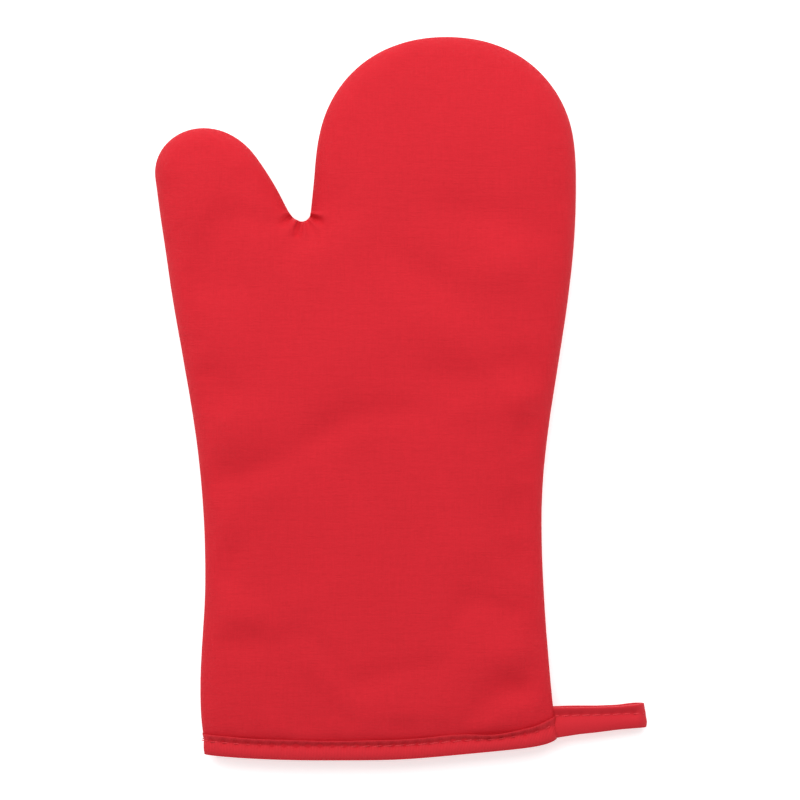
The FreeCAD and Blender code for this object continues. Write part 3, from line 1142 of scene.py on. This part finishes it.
def loop_line():
    """The middle line of the loop in x and z, from the seam round the tip and back, with its outward way."""
    axis_height = to_pattern(joint_of["loop_swing"]["pos_m"])[2]
    tip_x = to_pattern(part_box("hang_loop")[1])[0] - loop_tip_radius
    centre = np.array((tip_x, loop_tip_radius + loop_rest))
    root = np.array((loop_root_x, axis_height))
    half = (0, loop_thickness / 2)
    arc = np.radians(np.linspace(100.0, -104.0, 46))
    tip = centre + (loop_tip_radius - loop_thickness / 2) * np.stack((np.cos(arc), np.sin(arc)), axis=1)

    def leg(first, last, bow):
        t = np.linspace(0, 1, 60)[:, None]
        points = first * (1 - t) + last * t
        points[:, 1] += bow * np.sin(np.pi * t[:, 0]) ** 2
        return points

    top = leg(root + half, tip[0], loop_top_bow)
    low = leg(tip[-1], root - half, -loop_low_bow)
    line = np.concatenate((top[:-1], tip, low[1:]))
    steps = np.linalg.norm(np.diff(line, axis=0), axis=1)
    run = np.concatenate(([0.0], np.cumsum(steps)))
    stitches = round(run[-1] / loop_pitch)
    places = np.linspace(0, run[-1], stitches * columns_per_stitch + 1)
    line = np.stack([np.interp(places, run, line[:, k]) for k in range(2)], axis=1)
    for _ in range(10):
        line[1:-1] = (line[:-2] + 2 * line[1:-1] + line[2:]) / 4
    way = np.gradient(line, axis=0)
    way /= np.linalg.norm(way, axis=1)[:, None]
    return line, np.stack((-way[:, 1], way[:, 0]), axis=1), places, places[-1] / stitches


def make_loop(material):
    """The strip of folded tape, stitched along one edge, that goes out to its tip and back."""
    line, out, run, pitch = loop_line()
    tip_x = line[:, 0].max()
    share = np.clip((line[:, 0] - loop_root_x) / (tip_x - loop_root_x), 0, 1)
    # The lower leg lies a little off the upper one, as a hand-sewn loop does
    below = smooth_step(run / run[-1], 0.42, 0.62) * smooth_step(share, 0.15, 0.7)
    edges = zip((loop_low_edge, loop_stitch_line, loop_high_edge), loop_lower_leg)
    low, sewn, high = (np.interp(share, *zip(*edge)) - drop * below for edge, drop in edges)
    free = between_stitches(run, pitch)
    stitched = loop_swell * free - loop_dent * (1 - free) ** 4
    wobble = waves(run, loop_waves)
    flat_tip = smooth_step(share, 0.90, 0.99)
    rows = []
    for side in (1, -1):
        # The face towards the other leg is kept thin, so that the legs stay apart
        thickest = loop_thickness / 2 if side * out[0, 1] < 0 else math.inf
        for across, puff in loop_skin[::side]:
            groove = math.exp(-((across - loop_groove) / loop_groove_reach) ** 2)
            fullness = puff + (min(1.0, 4.0 * across) - puff) * flat_tip
            thick = loop_thickness / 2 * fullness + groove * stitched
            thick = np.clip(thick + wobble * fullness * (1 - groove), 0.02, thickest)
            place = line + out * (side * thick)[:, None]
            if across < loop_groove:
                y = low + (sewn - low) * across / loop_groove
            else:
                y = sewn + (high - sewn) * (across - loop_groove) / (1 - loop_groove)
            slant = (loop_tip_slant[0] + loop_tip_slant[1] * (1 - across)) * share ** 6
            rows.append(np.stack((place[:, 0] + slant, y, np.maximum(place[:, 1], table_clear)), axis=1))
    rows = np.stack(rows, axis=1)

    count, section = rows.shape[:2]
    places = np.array([across for across, _ in loop_skin])
    uv = np.empty((count, section + 1, 2))
    uv[:, :, 0] = run[:, None]
    uv[:, :, 1] = np.concatenate((places, 2 - places[::-1], [2.0])) * (high - low).mean()
    piece = make_strip("hanging_loop_tape", rows, uv, material, False)
    groove = int(np.argmin(np.abs(places - loop_groove)))
    ways = np.stack((out[:, 0], np.zeros(count), out[:, 1]), axis=1)
    return piece, [(rows[:, groove], ways), (rows[:, section - 1 - groove], -ways)], pitch


# ---------------------------------------------------------------- stitches


def stitch_tree():
    """A node group that lays a twisted two-strand stitch at every point of its mesh."""
    tree = bpy.data.node_groups.new("stitches along a line", "GeometryNodeTree")
    face = tree.interface
    face.new_socket("Line", in_out="INPUT", socket_type="NodeSocketGeometry")
    for name in ("Length", "Thickness", "Rise", "Slant", "Twists"):
        face.new_socket(name, in_out="INPUT", socket_type="NodeSocketFloat")
    face.new_socket("Thread", in_out="INPUT", socket_type="NodeSocketMaterial")
    face.new_socket("Stitches", in_out="OUTPUT", socket_type="NodeSocketGeometry")
    make = NodeMaker(tree)
    given = make.node("NodeGroupInput").outputs
    length, thickness, rise, twists = (Value(make, given[name])
                                       for name in ("Length", "Thickness", "Rise", "Twists"))

    def place(x, z):
        return make.node("ShaderNodeCombineXYZ", X=x, Z=z).outputs[0]

    arch = make.node("GeometryNodeCurveQuadraticBezier", Resolution=13, Start=place(length * -0.5, rise * -1),
                     Middle=place(0.0, rise * 2), End=place(length * 0.5, rise * -1))
    along = Value(make, make.node("GeometryNodeSplineParameter").outputs["Factor"])
    turned = make.node("GeometryNodeSetCurveTilt", Curve=arch.outputs[0], Tilt=along * twists * (2 * math.pi))
    # Thinner towards its two ends, where it goes down into the cloth
    middle = along * 2 - 1
    swell = 1 - middle * middle * (middle * middle) * 0.55
    # Two strands side by side: a round section drawn in twice on its way round
    section = make.node("GeometryNodeCurvePrimitiveCircle", Resolution=12, Radius=1.0)
    angle = Value(make, make.node("GeometryNodeInputIndex").outputs[0]) * (2 * math.pi / 12)
    width = (0.80 + (angle * 2).cos() * 0.20) * thickness * 0.5
    drawn_in = make.node("ShaderNodeVectorMath", {"operation": "SCALE"}, Scale=width,
                         Vector=make.node("GeometryNodeInputPosition").outputs[0])
    two_lobes = make.node("GeometryNodeSetPosition", Geometry=section.outputs[0],
                          Position=drawn_in.outputs[0])
    strand = make.node("GeometryNodeCurveToMesh", Curve=turned.outputs[0], Profile_Curve=two_lobes.outputs[0],
                       Scale=swell, Fill_Caps=True)
    way = make.node("GeometryNodeInputNamedAttribute", {"data_type": "FLOAT_VECTOR"}, Name="way").outputs[0]
    out = make.node("GeometryNodeInputNamedAttribute", {"data_type": "FLOAT_VECTOR"}, Name="out").outputs[0]
    level = make.node("FunctionNodeAxesToRotation", {"primary_axis": "Z", "secondary_axis": "X"},
                      Primary_Axis=out, Secondary_Axis=way)
    lean = make.node("FunctionNodeAxisAngleToRotation", Axis=(0, 0, 1), Angle=given["Slant"])
    both = make.node("FunctionNodeRotateRotation", {"rotation_space": "LOCAL"},
                     Rotation=level.outputs[0], Rotate_By=lean.outputs[0])
    laid = make.node("GeometryNodeInstanceOnPoints", Points=given["Line"],
                     Instance=strand.outputs[0], Rotation=both.outputs[0])
    real = make.node("GeometryNodeRealizeInstances", Geometry=laid.outputs[0])
    smooth = make.node("GeometryNodeSetShadeSmooth", Geometry=real.outputs[0])
    threaded = make.node("GeometryNodeSetMaterial", Geometry=smooth.outputs[0], Material=given["Thread"])
    make.node("NodeGroupOutput", Stitches=threaded.outputs[0])
    return tree


def along_row(line, out, pitch, closed):
    """Even places along a row of points, half way between its needle holes: place, way and outward way."""
    line = to_frame(line) / mm
    if closed:
        line, out = np.concatenate((line, line[:1])), np.concatenate((out, out[:1]))
    steps = np.linalg.norm(np.diff(line, axis=0), axis=1)
    run = np.concatenate(([0.0], np.cumsum(steps)))
    count = max(2, round(run[-1] / pitch))
    places = (np.arange(count) + 0.5) * run[-1] / count
    index = np.clip(np.searchsorted(run, places, side="right") - 1, 0, len(steps) - 1)
    share = ((places - run[index]) / steps[index])[:, None]
    spot = line[index] * (1 - share) + line[index + 1] * share
    way = (line[index + 1] - line[index]) / steps[index][:, None]
    up = out[index] * (1 - share) + out[index + 1] * share
    return spot * mm, way, up / np.linalg.norm(up, axis=1)[:, None]


def sewn_rows(rows, pitch, closed, left_off=0):
    """The stitches of several rows together, without the last few of each row."""
    found = []
    for line, out in rows:
        found.append([part[:len(part) - left_off] for part in along_row(line, out, pitch, closed)])
    return [np.concatenate(parts) for parts in zip(*found)]


def seam_row(thumb):
    """The small stitches down in the side seam, on the thumb or on the rest of the mitt."""
    line = level_ends(outline + inward * seam_stitch_depth)
    line = np.column_stack((cuff_pull(line[:, 0], line[:, 1]), line[:, 1], np.full(len(line), seam_height)))
    spots, ways, _ = along_row(line, np.column_stack((-inward, np.zeros(len(inward)))), seam_pitch, False)
    up = np.tile((0.0, 0.0, 1.0), (len(spots), 1))
    x, y, _ = to_pattern(spots).T
    above = y - hem(x) > binding_height + 0.5
    past = (spots[:, :2] @ thumb_way > thumb_start) & (x < crotch[0])
    chosen = above & (past == thumb)
    return spots[chosen], up[chosen], np.cross(up, ways)[chosen]


def lay_stitches(name, row, shape, material):
    """One mesh of stitches, a stitch at each place of a row."""
    places, ways, outs = row
    mesh = bpy.data.meshes.new(name + " places")
    mesh.from_pydata(places.tolist(), [], [])
    for label, values in (("way", ways), ("out", outs)):
        layer = mesh.attributes.new(label, "FLOAT_VECTOR", "POINT")
        layer.data.foreach_set("vector", np.asarray(values, np.float32).ravel())
    holder = bpy.data.objects.new(name + " places", mesh)
    bpy.context.scene.collection.objects.link(holder)
    sewing = holder.modifiers.new("stitches", "NODES")
    sewing.node_group = stitches_group
    length, thickness, rise, slant, twists = shape
    wanted = {"Length": length * mm, "Thickness": thickness * mm, "Rise": rise * mm, "Slant": slant,
              "Twists": twists, "Thread": material}
    for item in stitches_group.interface.items_tree:
        if item.in_out == "INPUT" and item.name in wanted:
            sewing[item.identifier] = wanted[item.name]
    graph = bpy.context.evaluated_depsgraph_get()
    graph.update()
    made = bpy.data.meshes.new_from_object(holder.evaluated_get(graph))
    bpy.data.objects.remove(holder)
    made.name = name
    piece = bpy.data.objects.new(name, made)
    bpy.context.scene.collection.objects.link(piece)
    return piece


# ---------------------------------------------------------------- the mitt

red = woven("red_cotton", (0.70, 0.0138, 0.0275), (0.46, 0.006, 0.012), 0.00046, 0.09, 0.8)
lining_cotton = woven("lining_cotton", (0.78, 0.75, 0.68), (0.55, 0.52, 0.46), 0.0006, 0.10, 0.5)
batting = fluffy("polyester_wadding", (0.86, 0.85, 0.81), (0.60, 0.59, 0.56))
red_tape = ribbed("red_binding_tape", (0.66, 0.0200, 0.033), (0.44, 0.008, 0.014), 0.00062, 0.10, 1.0)
red_loop = ribbed("red_loop_tape", (0.62, 0.0180, 0.030), (0.42, 0.008, 0.014), 0.00050, 0.08, 0.4)
red_thread = spun("red_thread", (0.76, 0.045, 0.060), (0.50, 0.016, 0.026))
# Each layer's material, slot and depths
layers = {
    "outer": (red, "outer_cloth", outer_cloth),
    "wadding": (batting, "wadding", wadding),
    "lining": (lining_cotton, "lining_cloth", lining),
}

# The fingers' fold line, and a place as far beyond it as the crotch lies before it
knuckles = joint_of["knuckle_fold"]["pos_m"][1]
fingers_end = (0.0, 2 * knuckles - crotch_place[1], 0.0)


def bend_fingers(piece):
    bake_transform(piece)


def bend_thumb(piece):
    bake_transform(piece)


def cut_size(piece, panel, thumb):
    """Width, length and area of the cloth that a piece was cut from, with its seam allowance, in metres."""
    flat = panel["flat"] * (scale_x, scale_y)
    used = sorted({i for face, is_thumb in zip(plan_faces, on_thumb) if is_thumb == thumb for i in face})
    allowance = seam_allowance * mm
    width, length = np.ptp(flat[used], axis=0) + (allowance, allowance)
    one_face = sum(face.area for face in piece.data.polygons) / 2
    sewn = sum(1 for i in used if i < ring_size) * point_spacing * mm
    return (width, length), one_face + sewn * allowance


def bend_and_replace(piece, nodes, thumb):
    """Hides the frame's nodes of that name on the thumb, or on the palm and fingers, and bakes the piece's
    place into its mesh.
    """
    if thumb:
        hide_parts(f"{nodes}_thumb")
        bend_thumb(piece)
    else:
        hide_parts(f"{nodes}_palm", f"{nodes}_fingers")
        bend_fingers(piece)


def make_walls():
    """Every layer of both panels, each as the hand's piece and the thumb's piece."""
    for side in ("front", "back"):
        panel = make_panel(side == "front")
        for layer, (material, slot, depths) in layers.items():
            for thumb, part in ((False, "hand"), (True, "thumb")):
                piece = layer_piece(f"{side}_{layer}_{part}", panel, depths, thumb, material)
                bend_and_replace(piece, f"{layer}_{side}", thumb)
                if layer == "wadding":
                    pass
                else:
                    flat, area = cut_size(piece, panel, thumb)


make_walls()
stitches_group = stitch_tree()

binding, binding_grooves, binding_holes = make_binding(red_tape)
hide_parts("cuff_binding")
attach(binding, "palm")
binding_row = sewn_rows(binding_grooves, binding_holes, True)
binding_stitches = lay_stitches("cuff_binding_stitches", binding_row, cuff_stitch, red_thread)
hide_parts("binding_thread")
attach(binding_stitches, "palm")

loop, loop_grooves, loop_holes = make_loop(red_loop)
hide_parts("hang_loop", "loop_anchor")
loop_row = sewn_rows(loop_grooves, loop_holes, False, left_off=1)
loop_stitches = lay_stitches("hanging_loop_stitches", loop_row, loop_stitch, red_thread)
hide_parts("loop_thread")
for piece in (loop, loop_stitches):
    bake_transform(piece)

for thumb, part in ((False, "hand"), (True, "thumb")):
    piece = lay_stitches(f"side_seam_stitches_{part}", seam_row(thumb), seam_stitch, red_thread)
    bend_and_replace(piece, "side_seam_thread", thumb)

# ---------------------------------------------------------------- floor, light and camera


def plain_floor():
    """A wide pale floor just under the mitt."""
    mesh = bpy.data.meshes.new("floor")
    mesh.from_pydata([(-3, -3, 0), (3, -3, 0), (3, 3, 0), (-3, 3, 0)], [], [(0, 1, 2, 3)])
    material, make, shader = new_material("white_paper", 0.9, 0.1)
    coloured(make, shader, make.noise(make.place(), 900.0), (0.95, 0.95, 0.95), (0.93, 0.93, 0.93))
    shader.inputs["Emission Color"].default_value = (1, 1, 1, 1)
    shader.inputs["Emission Strength"].default_value = table_glow
    mesh.materials.append(material)
    floor = bpy.data.objects.new("floor", mesh)
    bpy.context.scene.collection.objects.link(floor)
    floor.location.z = -table_gap * mm


def soft_light(name, place, size, power):
    """A rectangular light that faces the middle of the mitt."""
    data = bpy.data.lights.new(name, "AREA")
    data.shape = "RECTANGLE"
    data.size, data.size_y = size
    data.energy = power
    light = bpy.data.objects.new(name, data)
    bpy.context.scene.collection.objects.link(light)
    light.location = place
    light.rotation_euler = (-Vector(place)).to_track_quat("-Z", "Y").to_euler()


def light_tent():
    """An even white dome with one large soft light beyond the fingertips."""
    scene = bpy.context.scene
    scene.view_settings.view_transform = "Standard"
    world = bpy.data.worlds.new("light tent")
    scene.world = world
    world.use_nodes = True
    background = world.node_tree.nodes["Background"]
    background.inputs["Color"].default_value = (1, 1, 1, 1)
    background.inputs["Strength"].default_value = dome_strength
    soft_light("key", key_place, key_size, key_power)


def overhead_camera():
    """A long lens straight above the middle of the mitt, with the fingers up."""
    data = bpy.data.cameras.new("camera")
    data.lens = 100
    data.sensor_width = 36
    camera = bpy.data.objects.new("camera", data)
    bpy.context.scene.collection.objects.link(camera)
    bpy.context.scene.camera = camera
    middle = to_frame((picture_middle[0], picture_middle[1], picture_level))
    distance = picture_width * mm * data.lens / data.sensor_width
    camera.location = (middle[0], middle[1], middle[2] + distance)


plain_floor()
light_tent()
overhead_camera()
